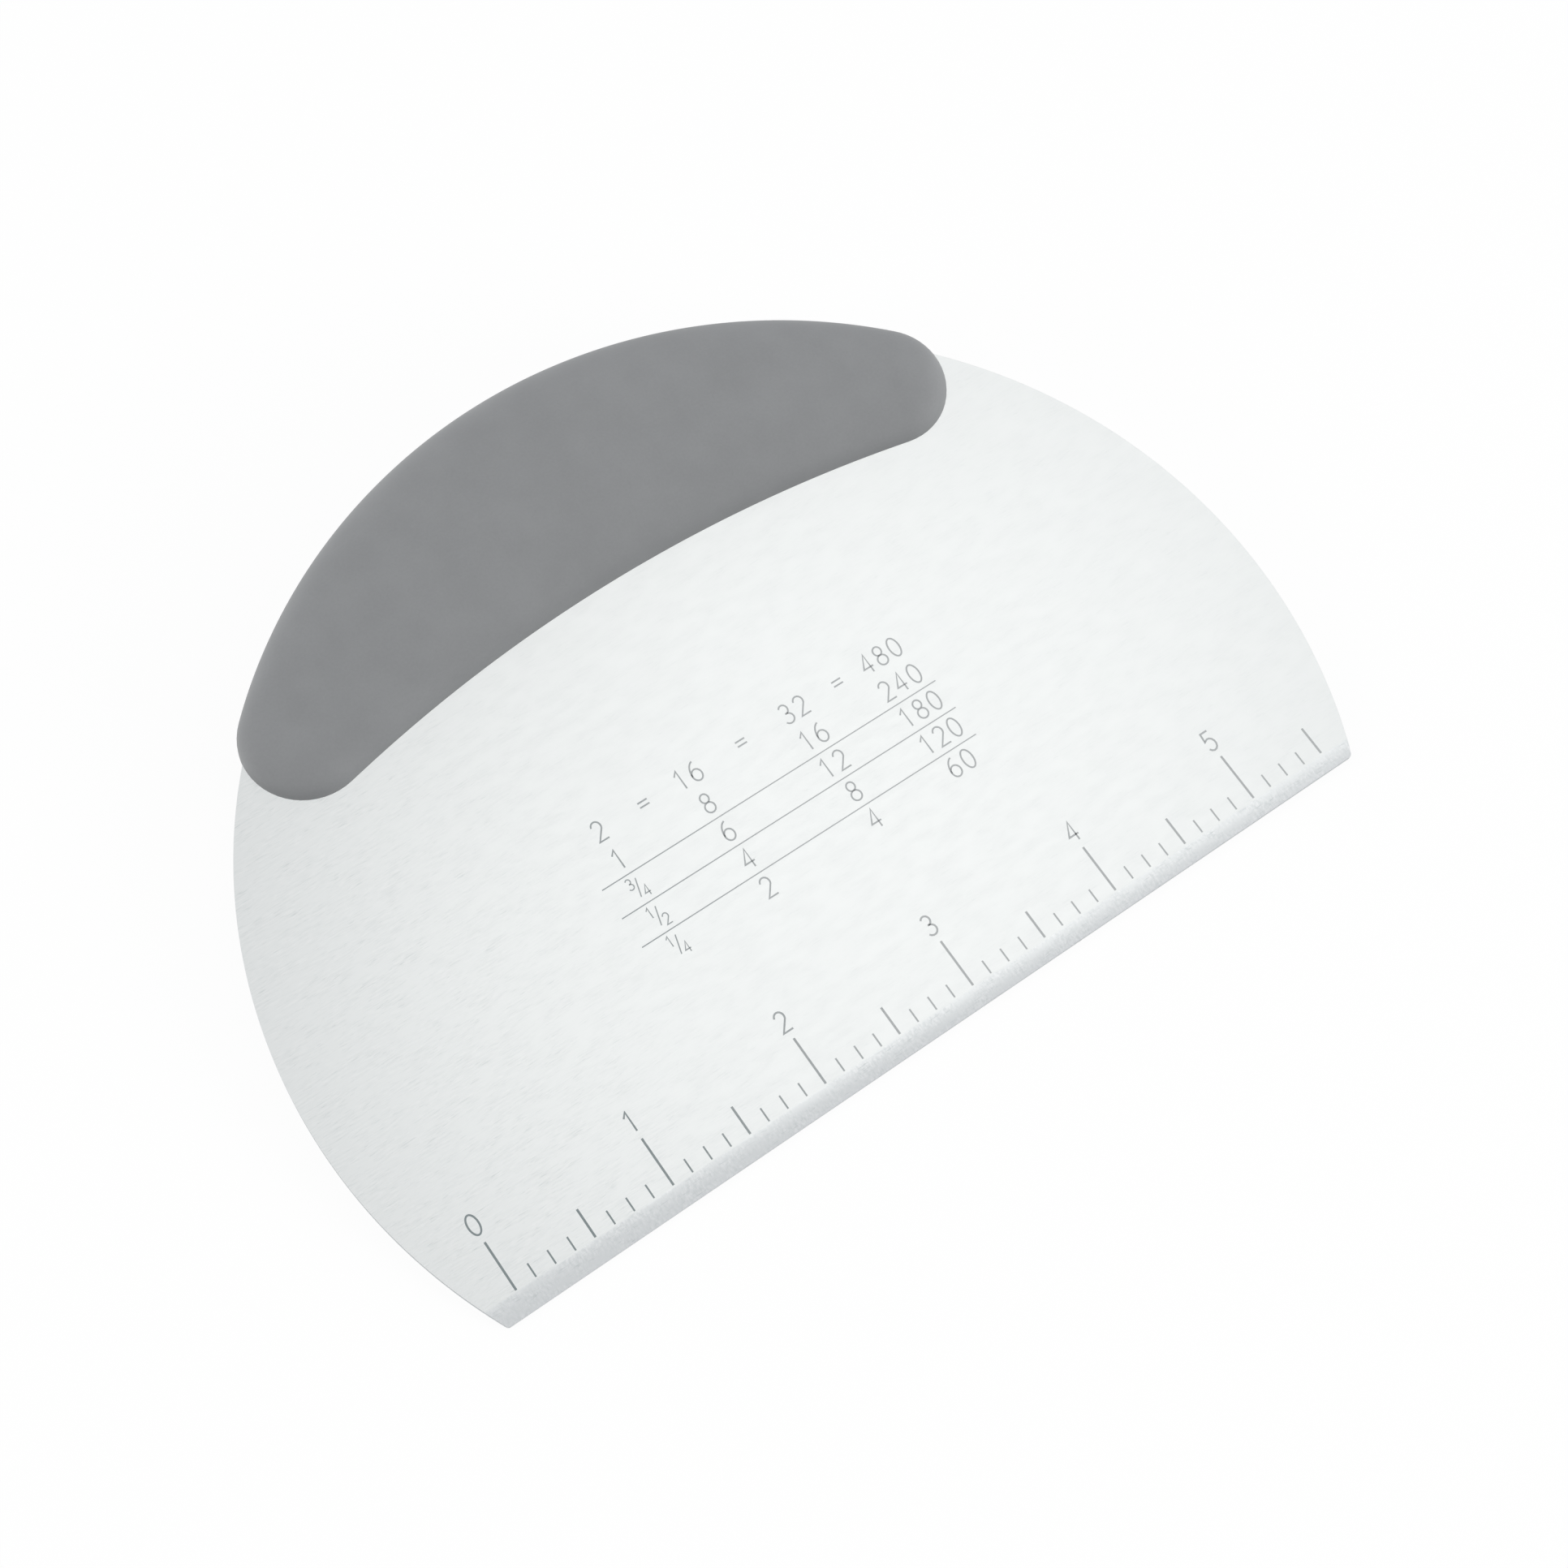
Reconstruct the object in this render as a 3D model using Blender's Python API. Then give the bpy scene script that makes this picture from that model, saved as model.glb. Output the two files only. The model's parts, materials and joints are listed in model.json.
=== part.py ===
"""A half-moon dough scraper: a stainless steel blade with a soft crescent grip on its round side.

The pieces are modelled with the blade in a level plane: X runs along the straight edge, Y towards
the grip and Z out of the front face, and the origin lies in the middle of the straight edge. A parent
then lays the scraper on its back, as it rests on a table: on its straight edge and on the grip's belly.
"""

import math

import bmesh
import bpy
from mathutils import Matrix, Vector

# Every length below is in metres. The blade is a disc with one straight cut across it. Its height goes
# from that straight edge to where the round rim has its top, under the grip.
BLADE_RADIUS = 0.0811
BLADE_HEIGHT = 0.1155
BLADE_THICKNESS = 0.0010
EDGE_CORNER_RADIUS = 0.0006
BEVEL_WIDTH = 0.0029
EDGE_LAND = 0.0006

# The blade is narrower where the grip hides it. That part is its tang.
TANG_INSET = 0.0050
TANG_CORNER_RADIUS = 0.0010

GRIP_OVERHANG = 0.0018
GRIP_WIDTH = 0.0345
GRIP_INNER_RADIUS = 0.2252
GRIP_END_RADIUS = 0.0096
GRIP_THICKNESS = 0.0186
GRIP_END_THICKNESS = 0.0108
GRIP_FULLNESS = 2.6
SKIN_THICKNESS = 0.0020

# Two hollow shells fill the grip, pinned together through holes in the tang.
CORE_WALL = 0.0015
RIB_THICKNESS = 0.0014
PIN_RADIUS = 0.0025
PIN_SPACING = 0.0240
PIN_COUNT = 4

# Pieces that touch on the real scraper keep this gap.
CLEARANCE = 0.0003

RIM_STEP = math.radians(3.0)
FILLET_STEP = math.radians(18.0)
SPINE_STEPS = 20
END_STEPS = 6
CROWN_STEPS = 6
ROUND_SIDES = 24
REACH_PAST = 0.002
WELD = 1e-6

BLADE_CENTRE = Vector((0.0, BLADE_HEIGHT - BLADE_RADIUS))
GRIP_OUTER_RADIUS = BLADE_RADIUS + GRIP_OVERHANG
GRIP_TOP = BLADE_CENTRE.y + GRIP_OUTER_RADIUS
INNER_CENTRE = Vector((0.0, GRIP_TOP - GRIP_WIDTH - GRIP_INNER_RADIUS))
CORE_INSET = SKIN_THICKNESS + CLEARANCE
POCKET_INSET = CORE_INSET + CORE_WALL


def linear(hex_colour):
    """An sRGB colour such as "8A8B8F" as linear red, green, blue and alpha."""
    channels = [int(hex_colour[i : i + 2], 16) / 255 for i in (0, 2, 4)]
    turned = [c / 12.92 if c <= 0.04045 else ((c + 0.055) / 1.055) ** 2.4 for c in channels]
    return (*turned, 1.0)


def material(name, hex_colour, roughness, metallic=0.0):
    made = bpy.data.materials.new(name)
    made.use_nodes = True
    shader = made.node_tree.nodes["Principled BSDF"]
    shader.inputs["Base Color"].default_value = linear(hex_colour)
    shader.inputs["Roughness"].default_value = roughness
    shader.inputs["Metallic"].default_value = metallic
    made.diffuse_color = linear(hex_colour)
    return made


def clear_scene():
    for obj in list(bpy.data.objects):
        bpy.data.objects.remove(obj, do_unlink=True)


def collection(name):
    made = bpy.data.collections.new(name)
    bpy.context.scene.collection.children.link(made)
    return made


def mesh_object(name, shape, home, parent):
    """An object in its collection, from a bmesh that this uses up."""
    bmesh.ops.recalc_face_normals(shape, faces=shape.faces)
    mesh = bpy.data.meshes.new(name)
    shape.to_mesh(mesh)
    shape.free()
    obj = bpy.data.objects.new(name, mesh)
    home.objects.link(obj)
    obj.parent = parent
    return obj


def as_cutter(obj):
    obj.hide_render = True
    obj.display_type = "WIRE"
    return obj


def boolean(obj, operation, other):
    """Cuts the other object from this one, joins it on, or keeps only what they share."""
    cut = obj.modifiers.new(f"{operation} {other.name}", "BOOLEAN")
    cut.operation = operation
    cut.solver = "EXACT"
    cut.object = other


def finish(obj, look):
    """Gives a piece its material and smooths its round faces."""
    obj.data.materials.append(look)
    obj.data.shade_smooth()
    obj.data.set_sharp_from_angle(angle=math.radians(30))


def arc(centre, radius, start, end, step):
    """Points along an arc, both ends included, in steps of about the given angle."""
    count = max(2, round(abs(end - start) / step) + 1)
    angles = [start + (end - start) * i / (count - 1) for i in range(count)]
    return [centre + radius * Vector((math.cos(a), math.sin(a))) for a in angles]


def spine_end():
    """Where the circle of the grip's end, which touches both long arcs, has its centre on the right."""
    outer = GRIP_OUTER_RADIUS - GRIP_END_RADIUS
    inner = GRIP_INNER_RADIUS + GRIP_END_RADIUS
    apart = BLADE_CENTRE.y - INNER_CENTRE.y
    rise = (inner**2 - outer**2 - apart**2) / (2 * apart)
    return Vector((math.sqrt(outer**2 - rise**2), BLADE_CENTRE.y + rise))


def spine(x):
    """A point midway between the grip's two long arcs, and its distance to both.

    Such points lie on an ellipse whose foci are the two arcs' centres.
    """
    middle = (BLADE_CENTRE + INNER_CENTRE) / 2
    half_height = (GRIP_OUTER_RADIUS + GRIP_INNER_RADIUS) / 2
    half_width = math.sqrt(half_height**2 - ((BLADE_CENTRE.y - INNER_CENTRE.y) / 2) ** 2)
    point = middle + Vector((x, half_height * math.sqrt(1 - (x / half_width) ** 2)))
    return point, GRIP_OUTER_RADIUS - (point - BLADE_CENTRE).length


def half_thickness(reach):
    """The grip thins towards its ends as it narrows."""
    share = (reach - GRIP_END_RADIUS) / (GRIP_WIDTH / 2 - GRIP_END_RADIUS)
    return (GRIP_END_THICKNESS + (GRIP_THICKNESS - GRIP_END_THICKNESS) * share) / 2


def blade_outline(grow=0.0):
    """The blade seen from the front, larger all round by an amount, counterclockwise."""
    corner = Vector((0.0, EDGE_CORNER_RADIUS))
    corner.x = math.sqrt((BLADE_RADIUS - corner.y) ** 2 - (BLADE_CENTRE.y - corner.y) ** 2)
    corner_turn = math.atan2(corner.y - BLADE_CENTRE.y, corner.x)

    # The blade steps in to its tang on a line towards its centre, inside the grip's round end.
    end = spine_end()
    shoulder = math.atan2(end.y - BLADE_CENTRE.y, end.x)
    tang_radius = BLADE_RADIUS - TANG_INSET
    outer_reach = BLADE_RADIUS - TANG_CORNER_RADIUS
    inner_reach = tang_radius + TANG_CORNER_RADIUS
    outer_turn = shoulder - math.asin(TANG_CORNER_RADIUS / outer_reach)
    inner_turn = shoulder + math.asin(TANG_CORNER_RADIUS / inner_reach)
    outer_centre = BLADE_CENTRE + outer_reach * Vector((math.cos(outer_turn), math.sin(outer_turn)))
    inner_centre = BLADE_CENTRE + inner_reach * Vector((math.cos(inner_turn), math.sin(inner_turn)))
    quarter = math.pi / 2

    right = arc(corner, EDGE_CORNER_RADIUS + grow, -quarter, corner_turn, FILLET_STEP)
    right += arc(BLADE_CENTRE, BLADE_RADIUS + grow, corner_turn, outer_turn, RIM_STEP)[1:]
    right += arc(outer_centre, TANG_CORNER_RADIUS + grow, outer_turn, shoulder + quarter, FILLET_STEP)[1:]
    right += arc(
        inner_centre, TANG_CORNER_RADIUS - grow, shoulder - quarter, inner_turn - math.pi, FILLET_STEP
    )
    right += arc(BLADE_CENTRE, tang_radius + grow, inner_turn, quarter, RIM_STEP)[1:]
    left = [Vector((-point.x, point.y)) for point in reversed(right[:-1])]
    return right + left


def plate(name, outline, thickness, home, parent):
    """A flat plate with this outline, half above and half below Z = 0."""
    flat = bpy.data.curves.new(name, "CURVE")
    flat.dimensions = "2D"
    flat.fill_mode = "BOTH"
    flat.extrude = thickness / 2
    line = flat.splines.new("POLY")
    line.points.add(len(outline) - 1)
    for made, point in zip(line.points, outline):
        made.co = (point.x, point.y, 0.0, 1.0)
    line.use_cyclic_u = True
    guide = bpy.data.objects.new(name, flat)
    home.objects.link(guide)
    bpy.context.view_layer.update()
    graph = bpy.context.evaluated_depsgraph_get()
    mesh = bpy.data.meshes.new_from_object(guide.evaluated_get(graph))
    bpy.data.objects.remove(guide, do_unlink=True)
    shape = bmesh.new()
    shape.from_mesh(mesh)
    bpy.data.meshes.remove(mesh)
    bmesh.ops.remove_doubles(shape, verts=shape.verts, dist=WELD)
    return mesh_object(name, shape, home, parent)


def cylinder(name, radius, place, low, high, home, parent):
    """An upright cylinder between two heights."""
    shape = bmesh.new()
    bmesh.ops.create_cone(
        shape,
        cap_ends=True,
        segments=ROUND_SIDES,
        radius1=radius,
        radius2=radius,
        depth=high - low,
        matrix=Matrix.Translation((place.x, place.y, (low + high) / 2)),
    )
    return mesh_object(name, shape, home, parent)


def box(name, size, matrix, home, parent):
    shape = bmesh.new()
    bmesh.ops.create_cube(shape, size=1.0, matrix=matrix @ Matrix.Diagonal((*size, 1.0)))
    return mesh_object(name, shape, home, parent)


def spokes():
    """Lines from the grip's spine square to its outline, in order round it: (start, direction, reach)."""
    end = spine_end().x
    stations = [end * (1 - 2 * i / SPINE_STEPS) for i in range(SPINE_STEPS + 1)]
    outer_side = []
    inner_side = []
    for x in stations:
        point, reach = spine(x)
        outer_side.append((point, (point - BLADE_CENTRE).normalized(), reach))
        inner_side.append((point, (INNER_CENTRE - point).normalized(), reach))
    left_end = fan(outer_side[-1], inner_side[-1])
    right_end = fan(inner_side[0], outer_side[0])
    return outer_side + left_end + inner_side[::-1] + right_end


def fan(first, last):
    """The spokes of a round end, between the last one on one side and the first on the other."""
    start = math.atan2(first[1].y, first[1].x)
    turn = (math.atan2(last[1].y, last[1].x) - start) % (2 * math.pi)
    angles = [start + turn * i / END_STEPS for i in range(1, END_STEPS)]
    return [(first[0], Vector((math.cos(a), math.sin(a))), first[2]) for a in angles]


def crown(turn):
    """A point of the grip's section, as shares of its reach and height, where its face leans by an angle."""
    power = GRIP_FULLNESS / (GRIP_FULLNESS - 1)
    across = abs(math.cos(turn))
    up = abs(math.sin(turn))
    size = (across**power + up**power) ** (1 / GRIP_FULLNESS)
    share = 1 / (GRIP_FULLNESS - 1)
    return across**share / size, math.copysign(up**share / size, turn)


def grip_form(name, inset, home, parent):
    """The grip's closed form, or a smaller one inside it: a loft of crowned sections along its spine."""
    shape = bmesh.new()
    levels = [crown(math.pi / 2 * i / CROWN_STEPS) for i in range(-CROWN_STEPS, CROWN_STEPS + 1)]
    rings = []
    for across, up in levels:
        ring = []
        for start, direction, reach in spokes():
            place = start + direction * (reach - inset) * across
            height = (half_thickness(reach) - inset) * up
            ring.append(shape.verts.new((place.x, place.y, height)))
        rings.append(ring)
    for below, above in zip(rings, rings[1:]):
        for i in range(len(below)):
            shape.faces.new((below[i - 1], below[i], above[i], above[i - 1]))
    bmesh.ops.remove_doubles(shape, verts=shape.verts, dist=WELD)
    return mesh_object(name, shape, home, parent)


def pin_places():
    middle = (PIN_COUNT - 1) / 2
    return [(i - middle) * PIN_SPACING for i in range(PIN_COUNT)]


def pocket_roof(x):
    """How far the shells are hollow from the blade's middle plane at a pin or rib."""
    return half_thickness(spine(x)[1]) - POCKET_INSET


def make_blade(home, tools, parent, look):
    blade = plate("blade", blade_outline(), BLADE_THICKNESS, home, parent)
    slope = math.atan2(BLADE_THICKNESS - EDGE_LAND, BEVEL_WIDTH)
    length = 2 * (BLADE_RADIUS + REACH_PAST)
    width = 2 * BEVEL_WIDTH + 2 * REACH_PAST
    tall = BLADE_THICKNESS
    edge = Matrix.Translation((0, 0, EDGE_LAND - BLADE_THICKNESS / 2)) @ Matrix.Rotation(slope, 4, "X")
    middle = Matrix.Translation((0, 0, tall / 2))
    wedge = as_cutter(box("bevel_cutter", (length, width, tall), edge @ middle, tools, parent))
    boolean(blade, "DIFFERENCE", wedge)
    for i, x in enumerate(pin_places()):
        reach = BLADE_THICKNESS / 2 + REACH_PAST
        radius = PIN_RADIUS + CLEARANCE
        hole = cylinder(f"tang_hole_cutter_{i}", radius, spine(x)[0], -reach, reach, tools, parent)
        boolean(blade, "DIFFERENCE", as_cutter(hole))
    finish(blade, look)
    return blade


def make_grip(home, tools, parent, slot, look):
    grip = grip_form("grip", 0.0, home, parent)
    hollow = as_cutter(grip_form("grip_hollow_cutter", SKIN_THICKNESS, tools, parent))
    boolean(grip, "DIFFERENCE", hollow)
    boolean(grip, "DIFFERENCE", slot)
    finish(grip, look)
    return grip


def make_pocket(side, tools, parent):
    """The hollow of a shell, less the ribs across it and the bosses round its pins."""
    pocket = as_cutter(grip_form(f"{side}_pocket_cutter", POCKET_INSET, tools, parent))
    places = pin_places()
    for i, (x, after) in enumerate(zip(places, places[1:])):
        point, reach = spine((x + after) / 2)
        lean = math.atan2(point.y - BLADE_CENTRE.y, point.x) - math.pi / 2
        turned = Matrix.Translation((point.x, point.y, 0)) @ Matrix.Rotation(lean, 4, "Z")
        size = (RIB_THICKNESS, 3 * reach, GRIP_THICKNESS + REACH_PAST)
        rib = as_cutter(box(f"{side}_rib_{i}", size, turned, tools, parent))
        boolean(pocket, "DIFFERENCE", rib)
    for i, x in enumerate(places):
        radius = PIN_RADIUS + CLEARANCE + CORE_WALL
        tall = GRIP_THICKNESS / 2 + REACH_PAST
        boss = as_cutter(cylinder(f"{side}_boss_{i}", radius, spine(x)[0], -tall, tall, tools, parent))
        boolean(pocket, "DIFFERENCE", boss)
    return pocket


def make_core(side, up, home, tools, parent, slot, look):
    """One hollow shell. The front one, with up = 1, carries the pins and the rear one their sockets."""
    core = grip_form(f"{side}_core", CORE_INSET, home, parent)
    size = (2 * GRIP_TOP, 2 * GRIP_TOP, GRIP_THICKNESS)
    shift = up * (GRIP_THICKNESS / 2 + CLEARANCE / 2)
    half = box(f"{side}_half", size, Matrix.Translation((0, 0, shift)), tools, parent)
    boolean(core, "INTERSECT", as_cutter(half))
    boolean(core, "DIFFERENCE", slot)
    boolean(core, "DIFFERENCE", make_pocket(side, tools, parent))
    for i, x in enumerate(pin_places()):
        place = spine(x)[0]
        tip = pocket_roof(x)
        if up > 0:
            root = BLADE_THICKNESS / 2 + CLEARANCE + pocket_roof(x) / 2
            pin = cylinder(f"pin_{i}", PIN_RADIUS, place, CLEARANCE - tip, root, tools, parent)
            boolean(core, "UNION", as_cutter(pin))
        else:
            radius = PIN_RADIUS + CLEARANCE
            bore = cylinder(f"socket_cutter_{i}", radius, place, -tip, REACH_PAST, tools, parent)
            boolean(core, "DIFFERENCE", as_cutter(bore))
    finish(core, look)
    return core


def lay_on_back(carrier, blade, grip):
    """Tilts everything until the grip's belly and the straight edge share one level, at Z = 0.

    The rear corner of the straight edge stays on that level. The scraper's box is centred over the origin.
    """
    heel = -BLADE_THICKNESS / 2
    carrier.rotation_euler.x = max(math.atan2(heel - v.co.z, v.co.y) for v in grip.data.vertices)
    bpy.context.view_layer.update()
    graph = bpy.context.evaluated_depsgraph_get()
    placed = []
    for obj in (blade, grip):
        solid = obj.evaluated_get(graph)
        placed += [solid.matrix_world @ v.co for v in solid.data.vertices]
    near = min(point.y for point in placed)
    far = max(point.y for point in placed)
    carrier.location = (0, -(near + far) / 2, -min(point.z for point in placed))
    bpy.context.view_layer.update()


def main():
    clear_scene()
    scraper = collection("dough_scraper")
    tools = collection("cutters")
    carrier = bpy.data.objects.new("blade_plane", None)
    scraper.objects.link(carrier)

    steel = material("brushed_steel", "E6E8E8", 0.32, metallic=1.0)
    rubber = material("grey_rubber", "8A8B8F", 0.62)
    plastic = material("natural_plastic", "D8D6CF", 0.5)

    slot_thickness = BLADE_THICKNESS + 2 * CLEARANCE
    slot = as_cutter(plate("slot_cutter", blade_outline(CLEARANCE), slot_thickness, tools, carrier))
    blade = make_blade(scraper, tools, carrier, steel)
    make_core("front", 1, scraper, tools, carrier, slot, plastic)
    make_core("rear", -1, scraper, tools, carrier, slot, plastic)
    grip = make_grip(scraper, tools, carrier, slot, rubber)
    lay_on_back(carrier, blade, grip)


main()
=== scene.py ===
"""Looks for the half-moon dough scraper: a brushed steel blade with an etched ruler, and a rubber grip.

The pieces are made with the blade in a level plane: X runs along the straight edge, Y towards the grip
and Z out of the front face, and the origin lies in the middle of the straight edge. Their placement then
lays them on the leaning blade of the CAD model. Lengths are in metres.
"""

import json
import math

import bmesh
import bpy
from mathutils import Matrix, Vector, noise


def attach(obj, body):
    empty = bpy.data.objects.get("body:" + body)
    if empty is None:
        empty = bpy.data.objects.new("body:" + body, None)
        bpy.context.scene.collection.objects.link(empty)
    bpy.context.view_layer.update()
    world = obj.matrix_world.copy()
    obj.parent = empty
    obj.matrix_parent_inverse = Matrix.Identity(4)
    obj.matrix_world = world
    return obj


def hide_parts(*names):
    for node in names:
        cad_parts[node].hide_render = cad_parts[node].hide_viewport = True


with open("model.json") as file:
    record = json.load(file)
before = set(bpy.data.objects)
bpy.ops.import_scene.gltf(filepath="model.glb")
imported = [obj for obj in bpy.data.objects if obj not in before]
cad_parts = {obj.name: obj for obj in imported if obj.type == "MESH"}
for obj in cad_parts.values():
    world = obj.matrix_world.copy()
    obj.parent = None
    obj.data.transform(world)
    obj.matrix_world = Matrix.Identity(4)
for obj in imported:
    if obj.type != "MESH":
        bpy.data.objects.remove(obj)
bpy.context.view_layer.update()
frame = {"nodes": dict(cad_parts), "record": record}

# The sizes of the CAD model.
BLADE_RADIUS = 0.0811
BLADE_HEIGHT = 0.1155
BLADE_THICKNESS = 0.0010
EDGE_CORNER_RADIUS = 0.0006
BEVEL_WIDTH = 0.0029
EDGE_LAND = 0.0006
TANG_INSET = 0.0050
TANG_CORNER_RADIUS = 0.0010
PIN_RADIUS = 0.0025
PIN_SPACING = 0.0240
PIN_COUNT = 4
GRIP_OVERHANG = 0.0018
GRIP_WIDTH = 0.0345
GRIP_INNER_RADIUS = 0.2252
GRIP_END_RADIUS = 0.0096
GRIP_THICKNESS = 0.0186
GRIP_END_THICKNESS = 0.0108
GRIP_FULLNESS = 2.6
SKIN_THICKNESS = 0.0020
CLEARANCE = 0.0003

BLADE_CENTRE = Vector((0.0, BLADE_HEIGHT - BLADE_RADIUS))
GRIP_OUTER_RADIUS = BLADE_RADIUS + GRIP_OVERHANG
GRIP_TOP = BLADE_CENTRE.y + GRIP_OUTER_RADIUS
INNER_CENTRE = Vector((0.0, GRIP_TOP - GRIP_WIDTH - GRIP_INNER_RADIUS))
FRONT = BLADE_THICKNESS / 2

# The grip and the blade are finer here than in the CAD model, and the rubber touches the blade.
SKIN_STEPS = (96, 22, 26)
HOLLOW_STEPS = (40, 8, 8)
DISC_SIDES = 360
HOLE_SIDES = 48
RIM_STEP = math.radians(1.0)
FILLET_STEP = math.radians(7.5)
MOULDED_GAP = 0.00003
WELD = 1e-6
MILLIMETRE = 0.001

# Faces that meet at more than these angles show a sharp edge.
SHARP_STEEL = math.radians(30)
SHARP_RUBBER = math.radians(40)

# The bevel is ground by hand: it rolls over, it is shallower on the right, and it meets the front face in
# a line that wanders and that leans against the straight edge.
BEVEL_ROLL = 0.7
BEVEL_ROLL_CHANGE = 0.15
BEVEL_DEPTH_CHANGE = -0.42
BEVEL_LEAN = -0.0062
BEVEL_WANDER = 0.0002
WANDER_END = BLADE_RADIUS / 1.05
WANDER_FADE = 6
LONG_WANDER = 0.009
SHORT_WANDER = 0.0017
SHORT_WANDER_SHARE = 0.6

# The front face is cut into rows and columns up to this height, so that the bevel can be ground into it.
# One row on each side of the bevel's upper line keeps that line crisp.
BEVEL_BAND = 0.0046
BEVEL_ROWS = 8
BEVEL_BREAK = 0.03
BAND_STEPS = 236
BAND_WELD = 1e-5

# The sheet's edges are dulled a little. Faces whose normal rises less than this are its cut rim.
RIM_RISE = 0.5
EDGE_ROUNDING = 0.00005
ROUNDING_SIDES = 2
ROUNDED_ABOVE = math.radians(40)

# The ruler: eighths of an inch along the straight edge, from 0 to 5.5 inches.
INCH = 0.0254
RULER_LENGTH = 5.5 * INCH
MARKS_FROM_EDGE = 0.0032
INCH_MARK = 0.0078
HALF_MARK = 0.0046
EIGHTH_MARK = 0.0022
THICK_LINE = 0.00034
THIN_LINE = 0.00025
DIGIT_LINE = 0.00028
RULER_DIGITS_FROM_EDGE = 0.0138

# The table of plain numbers: each row holds the same four measures, twice as much in the top one.
TABLE = (
    ("2", "16", "32", "480"),
    ("1", "8", "16", "240"),
    ("3/4", "6", "12", "180"),
    ("1/2", "4", "8", "120"),
    ("1/4", "2", "4", "60"),
)
TABLE_TOP = 0.0514
TABLE_ROW = 0.00505
TABLE_COLUMNS = (-0.0247, -0.0094, 0.0092, 0.0247)
TABLE_HALF_WIDTH = 0.0292
TABLE_RULES = (1.52, 2.52, 3.52)
RULE_LINE = 0.00017

DIGIT_HEIGHT = 0.0031
DIGIT_WIDTH = 0.0016
DIGIT_PITCH = 0.0025
FRACTION_SCALE = 0.56
FRACTION_BAR_SCALE = 0.84
FRACTION_SHIFT = 0.504 * DIGIT_WIDTH
FRACTION_DROP = 0.312 * DIGIT_HEIGHT
FRACTION_LINE = 0.00018
ETCH_HEIGHT = 0.00002

# At a sharp corner a line grows no wider than its width over this.
LEAST_MITRE = 0.5

# The etched marks lean a little against the straight edge, as the sheet lay when it was etched.
ETCH_TURN = math.radians(-0.3)

# The brushing is patchy, and has a few deeper scores. In mm.
PATCH_LENGTH = 5.0
PATCH_WIDTH = 1.6
SCORE_LENGTH = 2.4
SCORE_WIDTH = 0.2

# Its scratches are deepest up to the first place, in mm, and keep this share of their depth past the
# second.
WORN_SIDE = -60.0
FINE_SIDE = -15.0
FINE_SHARE = 0.28

# Scratches start to show where the patches' noise passes the first value, and show in full past the
# second. The same goes for the scores in their own noise.
PATCH_BARE = 0.25
PATCH_FULL = 0.65
SCORE_FAINT = 0.62
SCORE_FULL = 0.78

# The steel's roughness is up to this much more or less.
GLOSS_SPREAD = 0.015

# Most of a noise's values lie between these two.
NOISE_LOW = 0.3
NOISE_HIGH = 0.7

# Each pattern of scratches starts at a place of its own.
GRAIN_SEED = 3.0
PATCH_SEED = 8.0
SCORE_SEED = 14.0
OXIDE_SEED = 21.0

# The etched marks carry painted light: painted shade makes them darker on the left, and a painted
# reflection makes them paler on the right. In mm.
PAINTED_SHADE_SIDE = -60.0
PAINTED_LIGHT_SIDE = 5.0

# Their oxide is blotchy: the blotches' size in mm, and how far they shift its shade.
OXIDE_BLOTCH = 0.5
OXIDE_SPREAD = 0.12

# The rubber's grain and its soft mottling, in mm, and the grain's depth in metres.
GRAIN_SIZE = 0.4
CLOUD_SIZE = 6.0
GRAIN_DEPTH = 0.000012

# The stage. A level of 1 is white. The tent's heights are how far a direction rises, from 0 to 1.
FLOOR_HALF = 3.0
BOARD_GLOW = 0.93
WALL_LEVEL = 1.0
WALL_TOP = 0.55
CEILING_LEVEL = 0.67
CEILING_EDGE = 0.9
OPEN_TOWARDS = (-0.7, -0.65, 0.3)
OPEN_EDGE = 0.55
OPEN_SHARE = 0.1
LOW_WALL = 0.28
LOW_WALL_BLEND = 0.1
STEEL_SEES_TO = 0.6
STEEL_SEES_LEVEL = 0.6
LAMP_COLOUR = "FFFEFA"
SOFTBOX_AWAY = 1.2
SOFTBOX_LEVEL = 0.58
SOFTBOX_SIZE = 0.72
SOFTBOX_TOWARDS = (0.28, 0.185, 0.93)
FILL_LEVEL = 6.5
FILL_SIZE = 0.6
FILL_TOWARDS = (0.62, -0.72, 0.4)
SIDE_LEVEL = 12.0
SIDE_SIZE = 0.4
SIDE_TOWARDS = (-0.92, 0.35, 0.22)

# The camera: its lens in mm, and its place over the blade's front face and its aim on it in metres.
FOCAL_LENGTH = 63.85
SENSOR = 36.0
CAMERA_PLACE = Vector((-0.0990, -0.0588, 0.3733))
CAMERA_AIM = Vector((0.00165, 0.0427, 0.0))
CAMERA_ROLL = math.radians(10.23)


def linear(hex_colour):
    """An sRGB colour such as "8A8B8F" as linear red, green, blue and alpha."""
    channels = [int(hex_colour[i : i + 2], 16) / 255 for i in (0, 2, 4)]
    turned = [c / 12.92 if c <= 0.04045 else ((c + 0.055) / 1.055) ** 2.4 for c in channels]
    return (*turned, 1.0)


def blade_plane():
    """The placement of the leaning blade, read from the CAD model's mounts on its edge and front face."""
    mounts = {mount["name"]: mount for mount in frame["record"]["mounts"]}
    edge = mounts["working_edge"]
    out = Vector(mounts["blade_front"]["axis"])
    inward = -Vector(edge["axis"])
    across = inward.cross(out)
    origin = Vector(edge["pos_m"]) + out * (BLADE_THICKNESS - EDGE_LAND) / 2
    turned = Matrix((across, inward, out)).transposed().to_4x4()
    return Matrix.Translation(origin) @ turned


PLANE = blade_plane()
FRONT_FACE = PLANE @ Matrix.Translation((0.0, 0.0, FRONT))


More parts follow.
